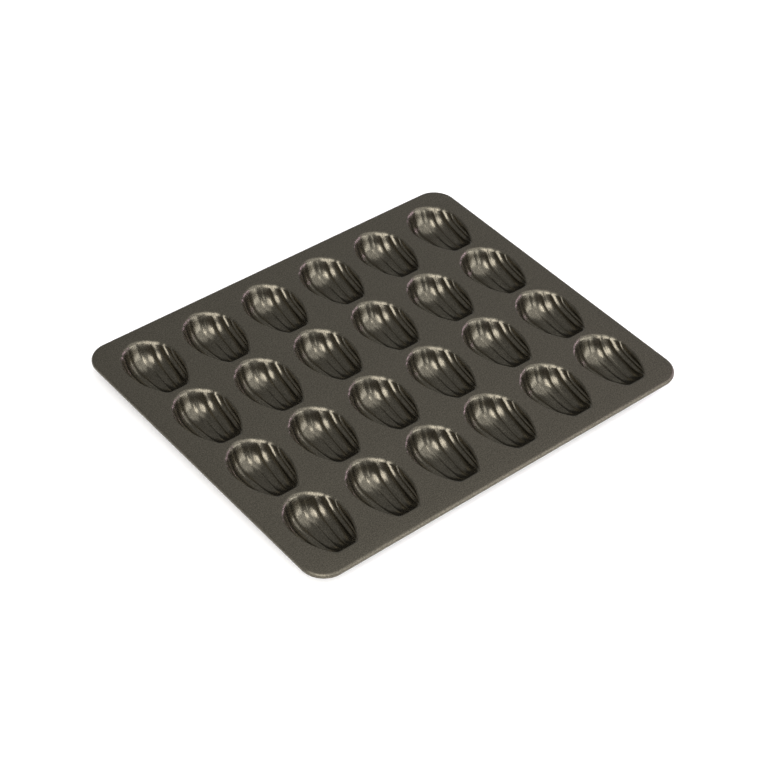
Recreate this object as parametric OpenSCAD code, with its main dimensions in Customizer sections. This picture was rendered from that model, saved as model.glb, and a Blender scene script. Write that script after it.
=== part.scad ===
// Madeleine pan: a flat tray of coated sheet steel with rows of fluted shell cups and a rolled, wired rim.
// The tray is drawn as one rectangular cell of sheet for each cup, set edge to edge inside the rim's border.
// +X runs along the long side, +Y towards the round ends of the cups, +Z up.
// The origin is under the middle of the pan, level with the undersides of the cups.

/* [Pan] */
// Number of cups along the long side
cup_columns = 6; // [2:1:6]
// Number of cups along the short side
cup_rows = 4; // [1:1:5]
// Deck between the mouths of two neighbouring cups, along the long side
web_x = 13.8; // [6:0.2:30]
// Deck between the mouths of two neighbouring cups, along the short side
web_y = 7.5; // [6:0.1:30]
// Border from the outer cells to the pan's left and right edges
side_border = 9; // [6:0.5:30]
// Border from the outer cells to the pan's near and far edges
end_border = 12; // [6:0.5:30]
// Radius of the pan's corners
corner_r = 20; // [8:1:30]
// Thickness of the sheet
sheet_t = 0.8; // [0.5:0.1:1.2]

/* [Cup] */
// Length of a cup's mouth, from the straight end to the round tip
cup_l = 62; // [50:1:90]
// Width of a cup's mouth at its widest
cup_w = 45.2; // [34:0.2:60]
// Width of the straight end
hinge_w = 18.2; // [10:0.2:28]
// Distance from the straight end to the widest place
widest_y = 35.6; // [28:0.2:44]
// Distance from the straight end to the deepest place
deepest_y = 38; // [28:0.5:44]
// Distance from the straight end to where the side walls end and the flutes start to run out
shoulder_y = 35; // [20:0.5:44]
// Depth of the cup below the deck, at the floor of the middle flute
cup_depth = 18.4; // [10:0.2:24]
// Radius of the edge between the deck and the cup's wall
mouth_r = 3; // [1:0.5:4]

/* [Flutes] */
// Number of flutes that fan out across a cup, with the plain wall at either side
flutes = 9; // [5:2:9]
// Depth of a flute below the ridges beside it
flute_h = 1.1; // [0.4:0.1:2]
// How far a flute bulges past the mouth at its outer end
scallop = 0.5; // [0:0.1:1]

/* [Rim] */
// Diameter of the wire inside the rolled edge
wire_d = 2.8; // [1.6:0.2:5]
// Clearance between the wire and the sheet rolled round it
wire_gap = 0.1; // [0.05:0.05:0.3]
// Angle that the sheet is rolled through
curl_turn = 290; // [240:5:320]

/* [Hidden] */
$fn = 48;
steel = [0.29, 0.28, 0.25];
wire_steel = [0.62, 0.62, 0.60];
// The cup's form: powers of the tip's outline, the side walls and the two end walls
tip_power = 0.65;
side_power = 3;
near_power = 3.4;
far_power = 3.8;
// The flute lines leave the straight end and the side wall next to it, as far as this from the end
side_start = 9;
start_power = 1.3;
// They bow out towards the sides, flare at the mouth, and end along the tip
bulge = 16;
bulge_power = 1.5;
flare = 5.5;
flare_power = 4;
sweep_power = 8;
shoulder_power = 1.25;
// The flutes start from nothing at the near side, and the ridges beside the middle are lower
fade_power = 6;
middle_sink = 0.5;
sink_fall = 1.5;
// The rounded mouth is drawn as one slanted band between the deck and a wall at this angle
wall_angle = 60;
mouth_out = mouth_r * tan(wall_angle / 2);
mouth_drop = mouth_r - sqrt(mouth_r * mouth_r - mouth_out * mouth_out);
// Steps of the cup's grid across the flutes, two to a flute, and along them
steps_t = 2 * flutes;
steps_u = 7;
// Step used to measure the slope of the cup's wall
slope_step = 0.05;
min_half_w = 0.01;

ridge_d = cup_depth - flute_h;
pitch_x = cup_w + web_x;
pitch_y = cup_l + web_y;
cells_l = cup_columns * pitch_x;
cells_w = cup_rows * pitch_y;
pan_l = cells_l + 2 * side_border;
pan_w = cells_w + 2 * end_border;

curl_d = wire_d + 2 * wire_gap + 2 * sheet_t;
curl_r = curl_d / 2;
// The largest corner radius at which the corner cells stay clear of the rolled edge
cell_gap = 0.2;
curl_reach = curl_d + cell_gap;
corner_room = side_border + end_border - curl_reach
    + sqrt(2 * (side_border - curl_reach) * (end_border - curl_reach));
rim_r = min(corner_r, corner_room);

function cup_name(row, column) = str("cup_r", row, "_c", column);

// Half the mouth's width at a distance y from the straight end
function half_w(y) = y < widest_y
    ? cup_w / 2 - (cup_w - hinge_w) / 2 * pow(1 - y / widest_y, 2)
    : cup_w / 2 * pow(max(0, 1 - pow((y - widest_y) / (cup_l - widest_y), 2)), tip_power);

// Depth along the middle of the cup, level with the ridges
function middle_depth(y) = y < deepest_y
    ? ridge_d * (1 - pow(1 - y / deepest_y, near_power))
    : ridge_d * (1 - pow((y - deepest_y) / (cup_l - deepest_y), far_power));

// Depth of the bowl that the ridges lie on
function bowl_depth(x, y) =
    middle_depth(y) * (1 - pow(min(1, abs(x) / max(half_w(y), min_half_w)), side_power));

// Unit vector out of the bowl's inner face
function bowl_normal(x, y) =
    let (dx = bowl_depth(x + slope_step, y) - bowl_depth(x - slope_step, y),
         dy = bowl_depth(x, y + slope_step) - bowl_depth(x, y - slope_step),
         n = [dx, dy, 2 * slope_step])
    n / norm(n);

// A grid line's place across the cup, from -1 at the left side to 1 at the right
function line_t(i) = i / flutes - 1;
function row_u(j) = (1 - cos(180 * j / steps_u)) / 2;
function line_end(t) = cup_l - (cup_l - shoulder_y) * pow(t, shoulder_power);
function is_floor(i) = i % 2 == 1;

// Places of the last ridge and of the one that starts at the corner of the straight end
last_ridge = 1 - 2 / flutes;
corner_t = 1 - 4 / flutes;

// Where the line at t, 0 or more, leaves the straight end or the side wall past its corner
function line_start(t) = t < corner_t
    ? [hinge_w / 2 * pow(t / corner_t, start_power), 0]
    : let (y = side_start * pow((t - corner_t) / (1 - corner_t), start_power)) [half_w(y), y];

// The same line further along, at u from 0 to 1
function line_at(t, u) =
    let (start = line_start(t), end_y = line_end(t), y = start.y + (end_y - start.y) * u,
         flare_x = flare * pow(t, flare_power),
         straight_x = start.x + (half_w(end_y) - flare_x - start.x) * u,
         bulge_x = bulge * pow(t, bulge_power) * (1 - t) * 4 * u * (1 - u),
         x = straight_x + bulge_x + flare_x * pow(u, sweep_power),
         at_side = max(0, (t - last_ridge) / (1 - last_ridge)))
    [x + (half_w(y) - x) * at_side, y];

// Where grid line i stands in plan at row j, on the bowl
function on_bowl(i, j) =
    let (p = line_at(abs(line_t(i)), row_u(j))) [sign(line_t(i)) * p.x, p.y];

// The same with the bulge at the outer end of a flute
function in_plan(i, j) =
    let (p = on_bowl(i, j), out = p - [0, deepest_y])
    is_floor(i) ? p + out / norm(out) * scallop * pow(row_u(j), sweep_power) : p;

// How far grid line i lies below the bowl, as a share of the flutes' depth: the outermost flutes are plain
function sink(i) = i < 2 || i > steps_t - 2 ? 0
    : is_floor(i) ? 1 : max(0, middle_sink - sink_fall * abs(line_t(i)));
function flute_depth(i, j) = flute_h * sink(i) * (1 - pow(1 - row_u(j), fade_power));

function is_border(i, j) = i == 0 || i == steps_t || j == 0 || j == steps_u;

// Points in the cell, from its centre and the deck's top face: [x, y] and a height
function in_cell(p, z) = [p.x, p.y - cup_l / 2, z];

function inner_point(i, j) = is_border(i, j)
    ? in_cell(in_plan(i, j), -mouth_drop)
    : in_cell(in_plan(i, j), -bowl_depth(on_bowl(i, j).x, on_bowl(i, j).y) - flute_depth(i, j));

function outer_point(i, j) =
    inner_point(i, j) - sheet_t * bowl_normal(on_bowl(i, j).x, on_bowl(i, j).y);

// The grid's border as a loop, counter-clockwise from the left end of the straight side
border = concat([for (i = [0:steps_t - 1]) [i, 0]],
                [for (j = [0:steps_u - 1]) [steps_t, j]],
                [for (i = [steps_t:-1:1]) [i, steps_u]],
                [for (j = [steps_u:-1:1]) [0, j]]);
loop_n = len(border);

function border_plan(k) = let (b = border[(k + loop_n) % loop_n]) in_plan(b[0], b[1]);
function border_out(k, distance) =
    let (along = border_plan(k + 1) - border_plan(k - 1))
    border_plan(k) + distance / norm(along) * [along.y, -along.x];
function border_index(i, j) =
    j == 0 && i < steps_t ? i
    : i == steps_t && j < steps_u ? steps_t + j
    : j == steps_u && i > 0 ? steps_t + steps_u + (steps_t - i)
    : 2 * steps_t + steps_u + (steps_u - j);

cell_corners = [for (c = [[-1, -1], [1, -1], [1, 1], [-1, 1]]) [c.x * pitch_x / 2, c.y * pitch_y / 2]];

// The cell's points: inner grid, mouth ring and corners on top, then the same below, one sheet lower
inner_grid = [for (i = [0:steps_t], j = [0:steps_u]) inner_point(i, j)];
mouth_ring = [for (k = [0:loop_n - 1]) in_cell(border_out(k, mouth_out), 0)];
top_corners = [for (c = cell_corners) [c.x, c.y, 0]];
outer_border_out = sheet_t * sin(wall_angle / 2);
outer_border_z = -mouth_drop - sheet_t * cos(wall_angle / 2);
outer_grid = [for (i = [0:steps_t], j = [0:steps_u]) is_border(i, j)
    ? in_cell(border_out(border_index(i, j), outer_border_out), outer_border_z)
    : outer_point(i, j)];
under_ring = [for (p = mouth_ring) p - [0, 0, sheet_t]];
low_corners = [for (p = top_corners) p - [0, 0, sheet_t]];
cell_points = concat(inner_grid, mouth_ring, top_corners, outer_grid, under_ring, low_corners);

// Height of the deck's top face over the lowest points of the cups
deck_z = -min([for (p = outer_grid) p.z]);

grid_n = (steps_t + 1) * (steps_u + 1);
ring_at = grid_n;
top_at = ring_at + loop_n;
outer_at = top_at + 4;
under_at = outer_at + grid_n;
low_at = under_at + loop_n;

function grid_at(first, i, j) = first + i * (steps_u + 1) + j;
function flip(face) = [for (k = [len(face) - 1:-1:0]) face[k]];

// Two triangles over the corners of a quad
function quad(a, b, c, d) = [[a, b, c], [a, c, d]];

// Each quad of the grid is cut along the diagonal that leans with the flutes on its side of the cup. The
// two at the shoulders are cut the other way, so that no triangle lies along the border alone.
function grid_quad(first, i, j) =
    let (a = grid_at(first, i, j), b = grid_at(first, i, j + 1),
         c = grid_at(first, i + 1, j + 1), d = grid_at(first, i + 1, j),
         at_shoulder = j == steps_u - 1 && (i == 0 || i == steps_t - 1))
    (i < flutes) != at_shoulder ? quad(a, b, c, d) : quad(b, c, d, a);
function grid_faces(first) =
    [for (i = [0:steps_t - 1], j = [0:steps_u - 1]) each grid_quad(first, i, j)];

// The flat land between the ring round the mouth and the cell's corners. Each corner sees a quarter of the
// ring, from one of these places to the next: the middle of the straight side, the widest place on the
// right, the round tip and the widest place on the left.
ring_x = [for (p = mouth_ring) p.x];
widest_k = search(max(ring_x), ring_x)[0];
quarters = [flutes, widest_k, steps_t + steps_u + flutes, loop_n + steps_t - widest_k, loop_n + flutes];
function land_faces(ring, corner_at) = concat(
    [for (q = [0:3], k = [quarters[q]:quarters[q + 1] - 1])
        [corner_at + (q + 1) % 4, ring[(k + 1) % loop_n], ring[k % loop_n]]],
    [for (q = [0:3]) [corner_at + q, corner_at + (q + 1) % 4, ring[quarters[q] % loop_n]]]);

// The rounded mouth between the grid's border and the ring round it
function mouth_faces(edge, ring) =
    [for (k = [0:loop_n - 1]) each quad(edge[k], edge[(k + 1) % loop_n], ring[(k + 1) % loop_n], ring[k])];

inner_ids = [for (b = border) grid_at(0, b[0], b[1])];
outer_ids = [for (b = border) grid_at(outer_at, b[0], b[1])];
ring_ids = [for (k = [0:loop_n - 1]) ring_at + k];
under_ids = [for (k = [0:loop_n - 1]) under_at + k];

cell_faces = concat(
    grid_faces(0),
    mouth_faces(inner_ids, ring_ids),
    [for (f = land_faces(ring_ids, top_at)) flip(f)],
    [for (f = grid_faces(outer_at)) flip(f)],
    [for (f = mouth_faces(outer_ids, under_ids)) flip(f)],
    land_faces(under_ids, low_at),
    [for (q = [0:3]) each quad(top_at + q, top_at + (q + 1) % 4, low_at + (q + 1) % 4, low_at + q)]);

module cup_cell() {
    polyhedron(points = cell_points, faces = cell_faces, convexity = 6);
}

module cup(row, column) {
    x = (column - (cup_columns + 1) / 2) * pitch_x;
    y = (row - (cup_rows + 1) / 2) * pitch_y;
    color(steel) translate([x, y, deck_z]) cup_cell();
}

// A rectangle with round corners, all in exact arcs
module round_rectangle(length, width, radius) {
    square([length, width - 2 * radius], center = true);
    square([length - 2 * radius, width], center = true);
    for (x = [-1, 1], y = [-1, 1]) {
        translate([x * (length / 2 - radius), y * (width / 2 - radius)]) circle(radius);
    }
}

// Section of the rolled edge, from the wire's centre: +X points out of the pan, and the sheet comes in at
// the top from the deck and turns down round the outside
module curl_section() {
    reach = 2 * curl_r;
    difference() {
        circle(curl_r);
        circle(curl_r - sheet_t);
        polygon([[0, 0], [0, reach], [-reach, reach],
                 reach * [cos(90 - curl_turn), sin(90 - curl_turn)]]);
    }
}

module wire_section() {
    circle(d = wire_d);
}

// A section run along the four sides and round the four corners of the pan's edge
module along_edge() {
    straight_l = pan_l - 2 * rim_r;
    straight_w = pan_w - 2 * rim_r;
    for (turn = [0, 180]) {
        rotate(turn) translate([pan_l / 2 - curl_r, straight_w / 2, 0])
            rotate([90, 0, 0]) linear_extrude(straight_w) children();
        rotate(turn + 90) translate([pan_w / 2 - curl_r, straight_l / 2, 0])
            rotate([90, 0, 0]) linear_extrude(straight_l) children();
    }
    for (turn = [0, 180]) {
        rotate(turn) translate([straight_l / 2, straight_w / 2, 0]) corner_turn() children();
        rotate(turn) translate([-straight_l / 2, straight_w / 2, 0]) rotate(90) corner_turn() children();
    }
}

module corner_turn() {
    rotate_extrude(angle = 90) translate([rim_r - curl_r, 0]) children();
}

module rim() {
    color(steel) {
        translate([0, 0, deck_z - sheet_t]) linear_extrude(sheet_t) difference() {
            round_rectangle(pan_l - curl_d, pan_w - curl_d, rim_r - curl_r);
            square([cells_l, cells_w], center = true);
        }
        translate([0, 0, deck_z - curl_r]) along_edge() curl_section();
    }
}

module rim_wire() {
    color(wire_steel) translate([0, 0, deck_z - curl_r]) along_edge() wire_section();
}

rim();
rim_wire();
for (row = [1:cup_rows], column = [1:cup_columns]) {
    cup(row, column);
}
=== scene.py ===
"""Looks of a madeleine pan: one pressed sheet with 24 fluted cups and a rim rolled round a wire.

Everything is in metres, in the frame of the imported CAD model. The cups are described in millimetres, as a
tool maker would, and placed where the CAD cells are.
"""
import math

import bpy
import numpy as np
from mathutils import Matrix, Vector
from mathutils.geometry import delaunay_2d_cdt


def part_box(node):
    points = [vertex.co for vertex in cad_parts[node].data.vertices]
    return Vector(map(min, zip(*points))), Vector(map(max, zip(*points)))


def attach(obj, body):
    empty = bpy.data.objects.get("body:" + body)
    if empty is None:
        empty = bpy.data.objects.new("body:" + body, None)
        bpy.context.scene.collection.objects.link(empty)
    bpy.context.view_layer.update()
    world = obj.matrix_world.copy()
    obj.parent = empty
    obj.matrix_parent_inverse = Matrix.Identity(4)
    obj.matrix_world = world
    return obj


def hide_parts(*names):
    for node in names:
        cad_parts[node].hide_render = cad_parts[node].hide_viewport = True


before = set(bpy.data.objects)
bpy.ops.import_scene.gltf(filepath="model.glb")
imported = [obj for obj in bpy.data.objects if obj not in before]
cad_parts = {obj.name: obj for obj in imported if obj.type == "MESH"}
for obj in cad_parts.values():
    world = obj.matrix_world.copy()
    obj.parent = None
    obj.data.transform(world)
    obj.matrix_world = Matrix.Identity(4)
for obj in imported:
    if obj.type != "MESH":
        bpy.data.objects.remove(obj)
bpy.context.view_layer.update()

MM = 0.001

# The pan, read from the CAD model
CUPS = sorted(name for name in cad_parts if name.startswith("cup_"))
cell_low, cell_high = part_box(CUPS[0])
rim_low, rim_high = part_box("rim")
wire_low, wire_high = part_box("rim_wire")
PAN_L = (rim_high.x - rim_low.x) / MM
PAN_W = (rim_high.y - rim_low.y) / MM
DECK_Z = rim_high.z / MM
CELL_L = (cell_high.x - cell_low.x) / MM
CELL_W = (cell_high.y - cell_low.y) / MM
CURL_R = (rim_high.z - rim_low.z) / MM / 2
ROWS = 4
COLUMNS = len(CUPS) // ROWS

# The sheet and its rolled edge
SHEET_T = 0.8
CORNER_R = 20.0
CURL_TURN = 290
CURL_STEPS = 30
CORNER_STEPS = 24
# Output type and tolerance of the deck's triangulation (1: keep what lies inside the outlines)
INSIDE_OUTLINES = 1
CDT_EPSILON = 1e-6

# One cup, from the straight end (y = 0) to the round tip (y = CUP_L): its mouth, and where it is deepest
CUP_L = 62.0
CUP_W = 45.2
HINGE_W = 18.2
WIDEST_Y = 35.6
DEEPEST_Y = 38.0
SHOULDER_Y = 35.0
TIP_POWER = 0.65
SIDE_POWER = 3.0
NEAR_POWER = 3.4
FAR_POWER = 3.8
# How far the mouth's edge is rounded at the near side and at the tip, and where the one turns to the other
MOUTH_R_NEAR = 1.2
MOUTH_R_FAR = 3.0
MOUTH_TURN = (34.0, 56.0)
# The flutes: the lines between them start on the straight end or the side, bow out and flare at the mouth
FLUTES = 9
FLUTE_H = 1.1
CORNER_T = 5 / 9
LAST_RIDGE = 7 / 9
SIDE_START = 9.0
START_POWER = 1.3
FLARE = 5.5
FLARE_POWER = 4
BULGE = 16
BULGE_POWER = 1.5
SWEEP_POWER = 8
SHOULDER_POWER = 1.25
# How a flute's hollow fades towards its ends, how round it is, and how low the ridges in the middle are
FADE_NEAR = 6
FADE_FAR = 24
FADE_LEFT = 0.5
CHANNEL_POWER = 2.4
MIDDLE_SINK = 0.5
SINK_FALL = 1.5
RIDGE_D = DECK_Z - SHEET_T - FLUTE_H

# Steps of the cup's grid: across each flute, along the flutes, and outside the mouth
ACROSS = 8
ALONG = 44
MOUTH_RINGS = (0.15, 0.3, 0.45, 0.6, 0.75, 0.9, 1.05)
# The bowl's slope is measured over this step, this share of the way out, and taken as no less than this
SLOPE_STEP = 0.05
INNER = 0.97
LEAST_SLOPE = 0.3
# Least half width to divide by, at the very tip
MIN_HALF_W = 0.01

# The photograph's view: where the middle of the picture falls on the deck, and from how far and where
AIM = (-0.0166, -0.0186)
DISTANCE = 1.532
AZIMUTH = math.radians(-42.25)
ELEVATION = math.radians(42.74)
ROLL = math.radians(3.84)
LENS = 91.67
SENSOR = 36.0

# The coating: the colours of its speckle, how dense that is, and how noise shows as drawn streaks in the cups
COAT_DARK = (0.067, 0.061, 0.048, 1)
COAT_PALE = (0.135, 0.123, 0.097, 1)
SPECKLE_SCALE = 1100
SPECKLE_DETAIL = 4
SPECKLE_RANGE = (0.35, 0.65)
STREAK_STRETCH = (60, 3, 0)
STREAK_DETAIL = 4
STREAK_RANGE = (0.3, 0.7)
STREAK_SHADE = (0.75, 1.3)
CUP_ROUGH = (0.34, 0.21)
DECK_ROUGH = 0.45
GRAIN_STRENGTH = 0.25
GRAIN_DEPTH = 0.00005

# The wire
WIRE_COLOUR = (0.42, 0.42, 0.40, 1)
WIRE_SCALE = 900
WIRE_ROUGH = (0.3, 0.5)

# The studio, in metres and watts: each softbox's direction, distance, size, power and colour
FLOOR_HALF = 12.0
FLOOR_COLOUR = (0.9, 0.9, 0.9, 1)
FLOOR_ROUGH = 0.9
FLOOR_GLOW = 0.15
WHITE = (1, 1, 1, 1)
WORLD_STRENGTH = 0.44
SOFTBOXES = {
    "key": ((-0.60, -0.44, 0.67), 1.6, (1.3, 1.2), 29, (1.0, 0.98, 0.96)),
    "fill": ((0.20, -0.30, 0.92), 1.9, (2.4, 2.4), 24, (1, 1, 1)),
    "front": ((0.42, -0.84, 0.36), 1.6, (1.5, 0.7), 14, (1, 1, 1)),
    "back": ((0.62, 0.62, 0.45), 1.8, (1.4, 0.8), 0.8, (1, 1, 1)),
    "side": ((0.94, -0.14, 0.34), 1.6, (0.7, 0.5), 6, (0.95, 0.72, 1.0)),
}


def half_w(y):
    """Half the mouth's width at a distance y from the straight end."""
    near = CUP_W / 2 - (CUP_W - HINGE_W) / 2 * np.clip(1 - y / WIDEST_Y, 0, None) ** 2
    q = np.clip((y - WIDEST_Y) / (CUP_L - WIDEST_Y), 0, 1)
    return np.where(y < WIDEST_Y, near, CUP_W / 2 * (1 - q ** 2) ** TIP_POWER)


def middle_depth(y):
    """Depth along the middle of the cup, level with the ridges."""
    near = 1 - np.abs(1 - y / DEEPEST_Y) ** NEAR_POWER
    far = 1 - np.abs((y - DEEPEST_Y) / (CUP_L - DEEPEST_Y)) ** FAR_POWER
    return RIDGE_D * np.where(y < DEEPEST_Y, near, far)


def bowl_depth(x, y):
    """Depth of the bowl that the ridges lie on."""
    s = np.minimum(1, np.abs(x) / np.maximum(half_w(y), MIN_HALF_W))
    return middle_depth(y) * (1 - s ** SIDE_POWER)


def bowl_slopes(x, y):
    """How fast the bowl deepens along x and along y."""
    dx = bowl_depth(x + SLOPE_STEP, y) - bowl_depth(x - SLOPE_STEP, y)
    dy = bowl_depth(x, y + SLOPE_STEP) - bowl_depth(x, y - SLOPE_STEP)
    return dx / (2 * SLOPE_STEP), dy / (2 * SLOPE_STEP)


def rounded(depth, reach):
    """Depth with the edge between deck and wall rounded over, from -reach to reach."""
    return np.where(depth > reach, depth, np.clip(depth + reach, 0, None) ** 2 / (4 * reach))


def smooth(share):
    """A share from 0 to 1 with an even start and end."""
    return share * share * (3 - 2 * share)


def mouth_r(y):
    """How far the rounded edge reaches either way: a tight bend at the near side, a wide one at the tip."""
    first, last = MOUTH_TURN
    return MOUTH_R_NEAR + (MOUTH_R_FAR - MOUTH_R_NEAR) * smooth(np.clip((y - first) / (last - first), 0, 1))


def line_start(t):
    """Where the flute line t leaves the near side: on the straight end, or past its corner on the side."""
    a = np.abs(t)
    on_end = HINGE_W / 2 * (np.minimum(a, CORNER_T) / CORNER_T) ** START_POWER
    y = SIDE_START * (np.clip(a - CORNER_T, 0, None) / (1 - CORNER_T)) ** START_POWER
    return np.sign(t) * np.where(a < CORNER_T, on_end, half_w(y)), y


def flute_lines(t, u):
    """Plan of the flute lines: straight, flared at the mouth, and the outline itself at both sides."""
    a = np.abs(t)
    start_x, start_y = line_start(t)
    end_y = CUP_L - (CUP_L - SHOULDER_Y) * a ** SHOULDER_POWER
    y = start_y + (end_y - start_y) * u
    flare = FLARE * a ** FLARE_POWER
    x = np.abs(start_x) + (half_w(end_y) - flare - np.abs(start_x)) * u + flare * u ** SWEEP_POWER
    x = x + BULGE * a ** BULGE_POWER * (1 - a) * 4 * u * (1 - u)
    at_side = np.clip((a - LAST_RIDGE) / (1 - LAST_RIDGE), 0, 1)
    return np.sign(t) * (x + (half_w(y) - x) * at_side), y


def cup_grid():
    """Points of the cup inside its mouth, as arrays over flutes and rows."""
    t = np.linspace(-1, 1, FLUTES * ACROSS + 1)[:, None]
    u = (1 - np.cos(np.linspace(0, math.pi, ALONG + 1)))[None, :] / 2
    v = (np.arange(FLUTES * ACROSS + 1) % ACROSS)[:, None] / ACROSS * 2 - 1
    x, y = flute_lines(t, u)
    slope_x, slope_y = bowl_slopes(x * INNER, DEEPEST_Y + (y - DEEPEST_Y) * INNER)
    slope = np.maximum(np.hypot(slope_x, slope_y), LEAST_SLOPE)
    fade = (1 - (1 - u) ** FADE_NEAR) * (1 - (1 - FADE_LEFT) * u ** FADE_FAR)
    rise = 1 - np.clip(MIDDLE_SINK - SINK_FALL * np.abs(t), 0, None)
    inside = np.clip((1 - np.abs(t)) / (1 - LAST_RIDGE), 0, 1)
    sink = FLUTE_H * (1 - rise * np.abs(v) ** CHANNEL_POWER) * fade * smooth(inside) / np.sqrt(1 + slope ** 2)
    depth = bowl_depth(x, y) + sink
    z = -rounded(depth, mouth_r(y) * slope)
    x = x - sink * slope_x
    y = y - sink * slope_y
    return x, y, z, np.broadcast_to(t, x.shape), np.broadcast_to(u, x.shape), slope


def border_loop(grid):
    """The grid's border as a loop, counter-clockwise from the left end of the straight side."""
    n, m = grid.shape[0] - 1, grid.shape[1] - 1
    return np.concatenate([grid[:n, 0], grid[n, :m], grid[n:0:-1, m], grid[0, m:0:-1]])


def bridge(first, second):
    """Quads between two loops of point numbers, outer loop second."""
    n = len(first)
    return [(first[k], second[k], second[(k + 1) % n], first[(k + 1) % n]) for k in range(n)]


def make_cup():
    """One cup with its rounded mouth, from its centre: points, faces, the place of each point across and
    along the flutes, and the numbers of the points that meet the flat deck."""
    x, y, z, t, u, slope = cup_grid()
    n, m = x.shape[0] - 1, x.shape[1] - 1
    ids = np.arange(x.size).reshape(x.shape)
    points = [np.stack([x, y - CUP_L / 2, z], -1).reshape(-1, 3)]
    flutes = [np.stack([t, u, np.ones_like(t)], -1).reshape(-1, 3)]
    faces = [(ids[i, j], ids[i + 1, j], ids[i + 1, j + 1], ids[i, j + 1]) for i in range(n) for j in range(m)]
    edge = np.stack([border_loop(x), border_loop(y) - CUP_L / 2], -1)
    along = np.roll(edge, -1, 0) - np.roll(edge, 1, 0)
    for _ in range(ACROSS):
        along = (np.roll(along, 1, 0) + 2 * along + np.roll(along, -1, 0)) / 4
    out = np.stack([along[:, 1], -along[:, 0]], -1) / np.linalg.norm(along, axis=1)[:, None]
    edge_slope = border_loop(slope)
    edge_r = mouth_r(border_loop(y))[:, None]
    edge_t, edge_u = border_loop(t), border_loop(u)
    loop = border_loop(ids)
    at = x.size
    for distance in MOUTH_RINGS:
        ring = edge + distance * edge_r * out
        ring_z = -rounded(-distance * edge_r[:, 0] * edge_slope, edge_r[:, 0] * edge_slope)
        points.append(np.column_stack([ring, ring_z]))
        inside = np.full(len(ring), 1 - distance / MOUTH_RINGS[-1])
        flutes.append(np.column_stack([edge_t, edge_u, inside]))
        next_loop = np.arange(at, at + len(ring))
        faces += bridge(loop, next_loop)
        loop, at = next_loop, at + len(ring)
    return np.concatenate(points), faces, np.concatenate(flutes), loop


def rim_line():
    """The wire's centre line, counter-clockwise, and its outward normals."""
    quarter = np.linspace(0, math.pi / 2, CORNER_STEPS + 1)
    angle = np.concatenate([quarter + k * math.pi / 2 for k in range(4)])
    normal = np.stack([np.cos(angle), np.sin(angle)], -1)
    sign = np.repeat([(1, 1), (-1, 1), (-1, -1), (1, -1)], CORNER_STEPS + 1, axis=0)
    centre = np.array([PAN_L / 2 - CORNER_R, PAN_W / 2 - CORNER_R])
    return sign * centre + normal * (CORNER_R - CURL_R), normal


def pan_sheet():
    """The pressed sheet: the cups, the flat deck round them and the edge rolled round the wire."""
    cup, cup_faces, cup_flutes, cup_rim = make_cup()
    points, faces, flutes, loops = [], [], [], []
    at = 0
    for row in range(ROWS):
        for column in range(COLUMNS):
            points.append(cup + ((column - (COLUMNS - 1) / 2) * CELL_L, (row - (ROWS - 1) / 2) * CELL_W, 0))
            flutes.append(cup_flutes)
            faces += [tuple(at + i for i in face) for face in cup_faces]
            loops.append(at + cup_rim)
            at += len(cup)
    line, normal = rim_line()
    count = len(line)
    loops.append(np.arange(at, at + count))
    turns = np.radians(90 - np.linspace(0, CURL_TURN, CURL_STEPS + 1))
    for k, angle in enumerate(turns):
        out, height = CURL_R * math.cos(angle), CURL_R * (math.sin(angle) - 1)
        points.append(np.column_stack([line + out * normal, np.full(count, height)]))
        flutes.append(np.zeros((count, 3)))
        if k:
            faces += bridge(np.arange(at - count, at), np.arange(at, at + count))
        at += count
    points = np.concatenate(points)
    faces += deck_faces(points, loops)
    points, faces, flutes = weld((points + (0, 0, DECK_Z)) * MM, faces, np.concatenate(flutes))
    mesh = bpy.data.meshes.new("pan_sheet")
    mesh.from_pydata(points.tolist(), [], faces)
    for k, name in enumerate(("flute_across", "flute_along", "in_cup")):
        mesh.attributes.new(name, "FLOAT", "POINT").data.foreach_set("value", flutes[:, k].astype(np.float32))
    mesh.shade_smooth()
    sheet = bpy.data.objects.new("pan_sheet", mesh)
    bpy.context.scene.collection.objects.link(sheet)
    solid = sheet.modifiers.new("thickness", "SOLIDIFY")
    solid.thickness = SHEET_T * MM
    solid.offset = -1
    return sheet


def deck_faces(points, loops):
    """Triangles over the flat deck: inside the last loop and outside the others."""
    ids = np.concatenate(loops)
    ends = np.cumsum([len(loop) for loop in loops])
    outlines = [list(range(end - len(loop), end)) for loop, end in zip(loops, ends)]
    flat = [Vector(points[i, :2]) for i in ids]
    _, _, triangles, sources, _, inside = delaunay_2d_cdt(flat, [], outlines, INSIDE_OUTLINES, CDT_EPSILON)
    deck = [triangle for triangle, around in zip(triangles, inside) if around == [len(loops) - 1]]
    return [tuple(int(ids[sources[k][0]]) for k in triangle) for triangle in deck]


def weld(points, faces, values):
    """Joins points that lie at the same place, to a thousandth of a millimetre."""
    keys = np.round(points / MM, 3)
    _, first, inverse = np.unique(keys, axis=0, return_index=True, return_inverse=True)
    inverse = inverse.ravel()
    joined = []
    for face in faces:
        ring = []
        for i in face:
            if not ring or inverse[i] != ring[-1]:
                ring.append(int(inverse[i]))
        if ring[0] == ring[-1]:
            ring.pop()
        if len(ring) > 2:
            joined.append(ring)
    return points[first], joined, values[first]


def new_material(name):
    """A material with nodes, and its node list, links and shader."""
    material = bpy.data.materials.new(name)
    material.use_nodes = True
    nodes = material.node_tree.nodes
    return material, nodes, material.node_tree.links, nodes["Principled BSDF"]


def attribute(nodes, name):
    """The value of a mesh attribute."""
    node = nodes.new("ShaderNodeAttribute")
    node.attribute_name = name
    return node.outputs["Fac"]


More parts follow.
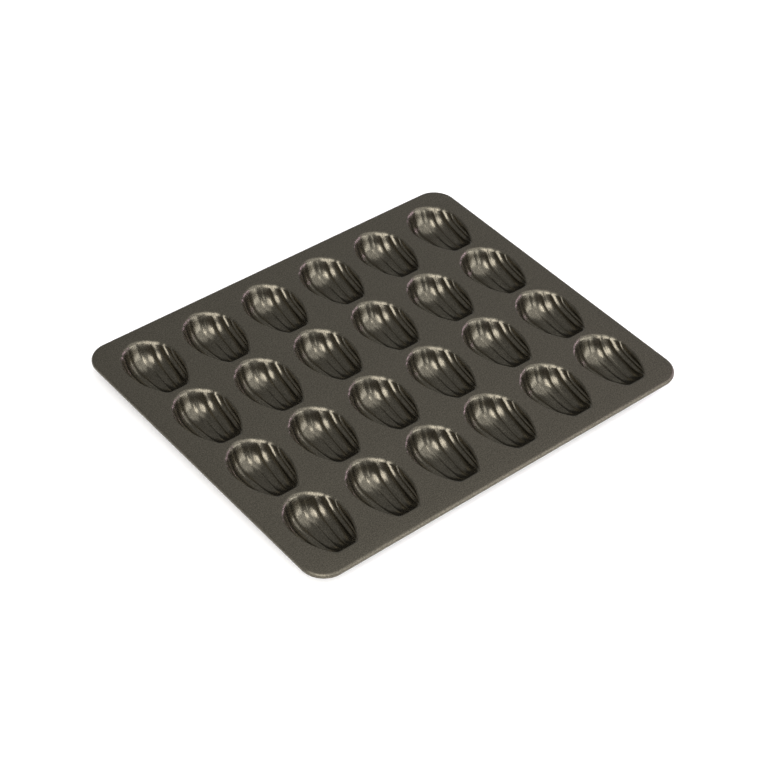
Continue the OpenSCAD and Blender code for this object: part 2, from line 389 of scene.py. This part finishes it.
def map_range(nodes, links, value, given, wanted):
    """A node that takes a value from one range to another."""
    node = nodes.new("ShaderNodeMapRange")
    node.inputs["From Min"].default_value, node.inputs["From Max"].default_value = given
    node.inputs["To Min"].default_value, node.inputs["To Max"].default_value = wanted
    links.new(value, node.inputs["Value"])
    return node


def coated_steel():
    """Dark warm-grey non-stick coating: matte and speckled on the deck, glossier in the cups."""
    material, nodes, links, shader = new_material("coated_steel")
    place = nodes.new("ShaderNodeTexCoord").outputs["Object"]

    speckle = nodes.new("ShaderNodeTexNoise")
    speckle.inputs["Scale"].default_value = SPECKLE_SCALE
    speckle.inputs["Detail"].default_value = SPECKLE_DETAIL
    links.new(place, speckle.inputs["Vector"])

    across = attribute(nodes, "flute_across")
    along = attribute(nodes, "flute_along")
    in_cup = attribute(nodes, "in_cup")
    streak_at = nodes.new("ShaderNodeCombineXYZ")
    links.new(across, streak_at.inputs["X"])
    links.new(along, streak_at.inputs["Y"])
    stretch = nodes.new("ShaderNodeVectorMath")
    stretch.operation = "MULTIPLY"
    stretch.inputs[1].default_value = STREAK_STRETCH
    links.new(streak_at.outputs["Vector"], stretch.inputs[0])
    streak = nodes.new("ShaderNodeTexNoise")
    streak.inputs["Scale"].default_value = 1
    streak.inputs["Detail"].default_value = STREAK_DETAIL
    links.new(stretch.outputs["Vector"], streak.inputs["Vector"])

    colour = nodes.new("ShaderNodeMix")
    colour.data_type = "RGBA"
    colour.inputs["A"].default_value = COAT_DARK
    colour.inputs["B"].default_value = COAT_PALE
    spots = map_range(nodes, links, speckle.outputs["Fac"], SPECKLE_RANGE, (0, 1))
    links.new(spots.outputs["Result"], colour.inputs["Factor"])

    drawn = map_range(nodes, links, streak.outputs["Fac"], STREAK_RANGE, STREAK_SHADE)
    streaked = nodes.new("ShaderNodeMix")
    streaked.data_type = "RGBA"
    streaked.blend_type = "MULTIPLY"
    links.new(in_cup, streaked.inputs["Factor"])
    links.new(colour.outputs["Result"], streaked.inputs["A"])
    links.new(drawn.outputs["Result"], streaked.inputs["B"])
    links.new(streaked.outputs["Result"], shader.inputs["Base Color"])

    cup_rough = map_range(nodes, links, streak.outputs["Fac"], STREAK_RANGE, CUP_ROUGH)
    rough = map_range(nodes, links, in_cup, (0, 1), (DECK_ROUGH, DECK_ROUGH))
    links.new(cup_rough.outputs["Result"], rough.inputs["To Max"])
    links.new(rough.outputs["Result"], shader.inputs["Roughness"])

    grain = nodes.new("ShaderNodeBump")
    grain.inputs["Strength"].default_value = GRAIN_STRENGTH
    grain.inputs["Distance"].default_value = GRAIN_DEPTH
    links.new(speckle.outputs["Fac"], grain.inputs["Height"])
    links.new(grain.outputs["Normal"], shader.inputs["Normal"])

    shader.inputs["Metallic"].default_value = 1.0
    return material


def wire_steel():
    """Plain drawn steel wire, with an uneven sheen."""
    material, nodes, links, shader = new_material("wire_steel")
    noise = nodes.new("ShaderNodeTexNoise")
    noise.inputs["Scale"].default_value = WIRE_SCALE
    links.new(nodes.new("ShaderNodeTexCoord").outputs["Object"], noise.inputs["Vector"])
    rough = map_range(nodes, links, noise.outputs["Fac"], (0, 1), WIRE_ROUGH)
    links.new(rough.outputs["Result"], shader.inputs["Roughness"])
    shader.inputs["Base Color"].default_value = WIRE_COLOUR
    shader.inputs["Metallic"].default_value = 1
    return material


def make_floor():
    """A white floor that keeps the pan's shadow: it glows a little to the camera and in reflections."""
    mesh = bpy.data.meshes.new("floor")
    corners = [(-FLOOR_HALF, -FLOOR_HALF, 0), (FLOOR_HALF, -FLOOR_HALF, 0),
               (FLOOR_HALF, FLOOR_HALF, 0), (-FLOOR_HALF, FLOOR_HALF, 0)]
    mesh.from_pydata(corners, [], [(0, 1, 2, 3)])
    floor = bpy.data.objects.new("floor", mesh)
    bpy.context.scene.collection.objects.link(floor)
    material, nodes, links, shader = new_material("floor")
    shader.inputs["Base Color"].default_value = FLOOR_COLOUR
    shader.inputs["Roughness"].default_value = FLOOR_ROUGH
    shader.inputs["Emission Color"].default_value = WHITE
    path = nodes.new("ShaderNodeLightPath")
    seen = path.outputs["Is Camera Ray"]
    for ray in ("Is Glossy Ray", "Is Transmission Ray"):
        either = nodes.new("ShaderNodeMath")
        either.operation = "MAXIMUM"
        links.new(seen, either.inputs[0])
        links.new(path.outputs[ray], either.inputs[1])
        seen = either.outputs["Value"]
    glow = nodes.new("ShaderNodeMath")
    glow.operation = "MULTIPLY"
    glow.inputs[1].default_value = FLOOR_GLOW
    links.new(seen, glow.inputs[0])
    links.new(glow.outputs["Value"], shader.inputs["Emission Strength"])
    mesh.materials.append(material)


def make_world():
    """An even, dim studio on all sides."""
    world = bpy.data.worlds.new("studio")
    bpy.context.scene.world = world
    world.use_nodes = True
    background = world.node_tree.nodes["Background"]
    background.inputs["Color"].default_value = WHITE
    background.inputs["Strength"].default_value = WORLD_STRENGTH


def area_light(name, direction, distance, size, watts, colour):
    """A rectangular softbox that faces the pan from a direction."""
    light = bpy.data.lights.new(name, "AREA")
    light.shape = "RECTANGLE"
    light.size, light.size_y = size
    light.energy = watts
    light.color = colour
    lamp = bpy.data.objects.new(name, light)
    towards = Vector(direction).normalized()
    lamp.location = towards * distance
    lamp.rotation_euler = towards.to_track_quat("Z", "Y").to_euler()
    bpy.context.scene.collection.objects.link(lamp)


def make_camera():
    """The photograph's camera."""
    camera = bpy.data.cameras.new("camera")
    camera.lens = LENS
    camera.sensor_width = SENSOR
    camera.sensor_fit = "HORIZONTAL"
    eye = bpy.data.objects.new("camera", camera)
    level = math.cos(ELEVATION)
    forward = Vector((-math.sin(AZIMUTH) * level, math.cos(AZIMUTH) * level, -math.sin(ELEVATION)))
    right = Vector((math.cos(AZIMUTH), math.sin(AZIMUTH), 0))
    up = right.cross(forward)
    rolled_right = right * math.cos(ROLL) + up * math.sin(ROLL)
    rolled_up = up * math.cos(ROLL) - right * math.sin(ROLL)
    turn = Matrix((rolled_right, rolled_up, -forward)).transposed()
    target = Vector((*AIM, DECK_Z * MM))
    eye.matrix_world = Matrix.Translation(target - forward * DISTANCE) @ turn.to_4x4()
    bpy.context.scene.collection.objects.link(eye)
    bpy.context.scene.camera = eye


def main():
    bpy.context.scene.view_settings.view_transform = "Standard"
    make_camera()
    make_floor()
    make_world()
    for name, softbox in SOFTBOXES.items():
        area_light(name, *softbox)

    sheet = pan_sheet()
    sheet.data.materials.append(coated_steel())
    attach(sheet, "root")
    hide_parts("rim", *CUPS)

    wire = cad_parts["rim_wire"]
    wire.data.materials.clear()
    wire.data.materials.append(wire_steel())


main()
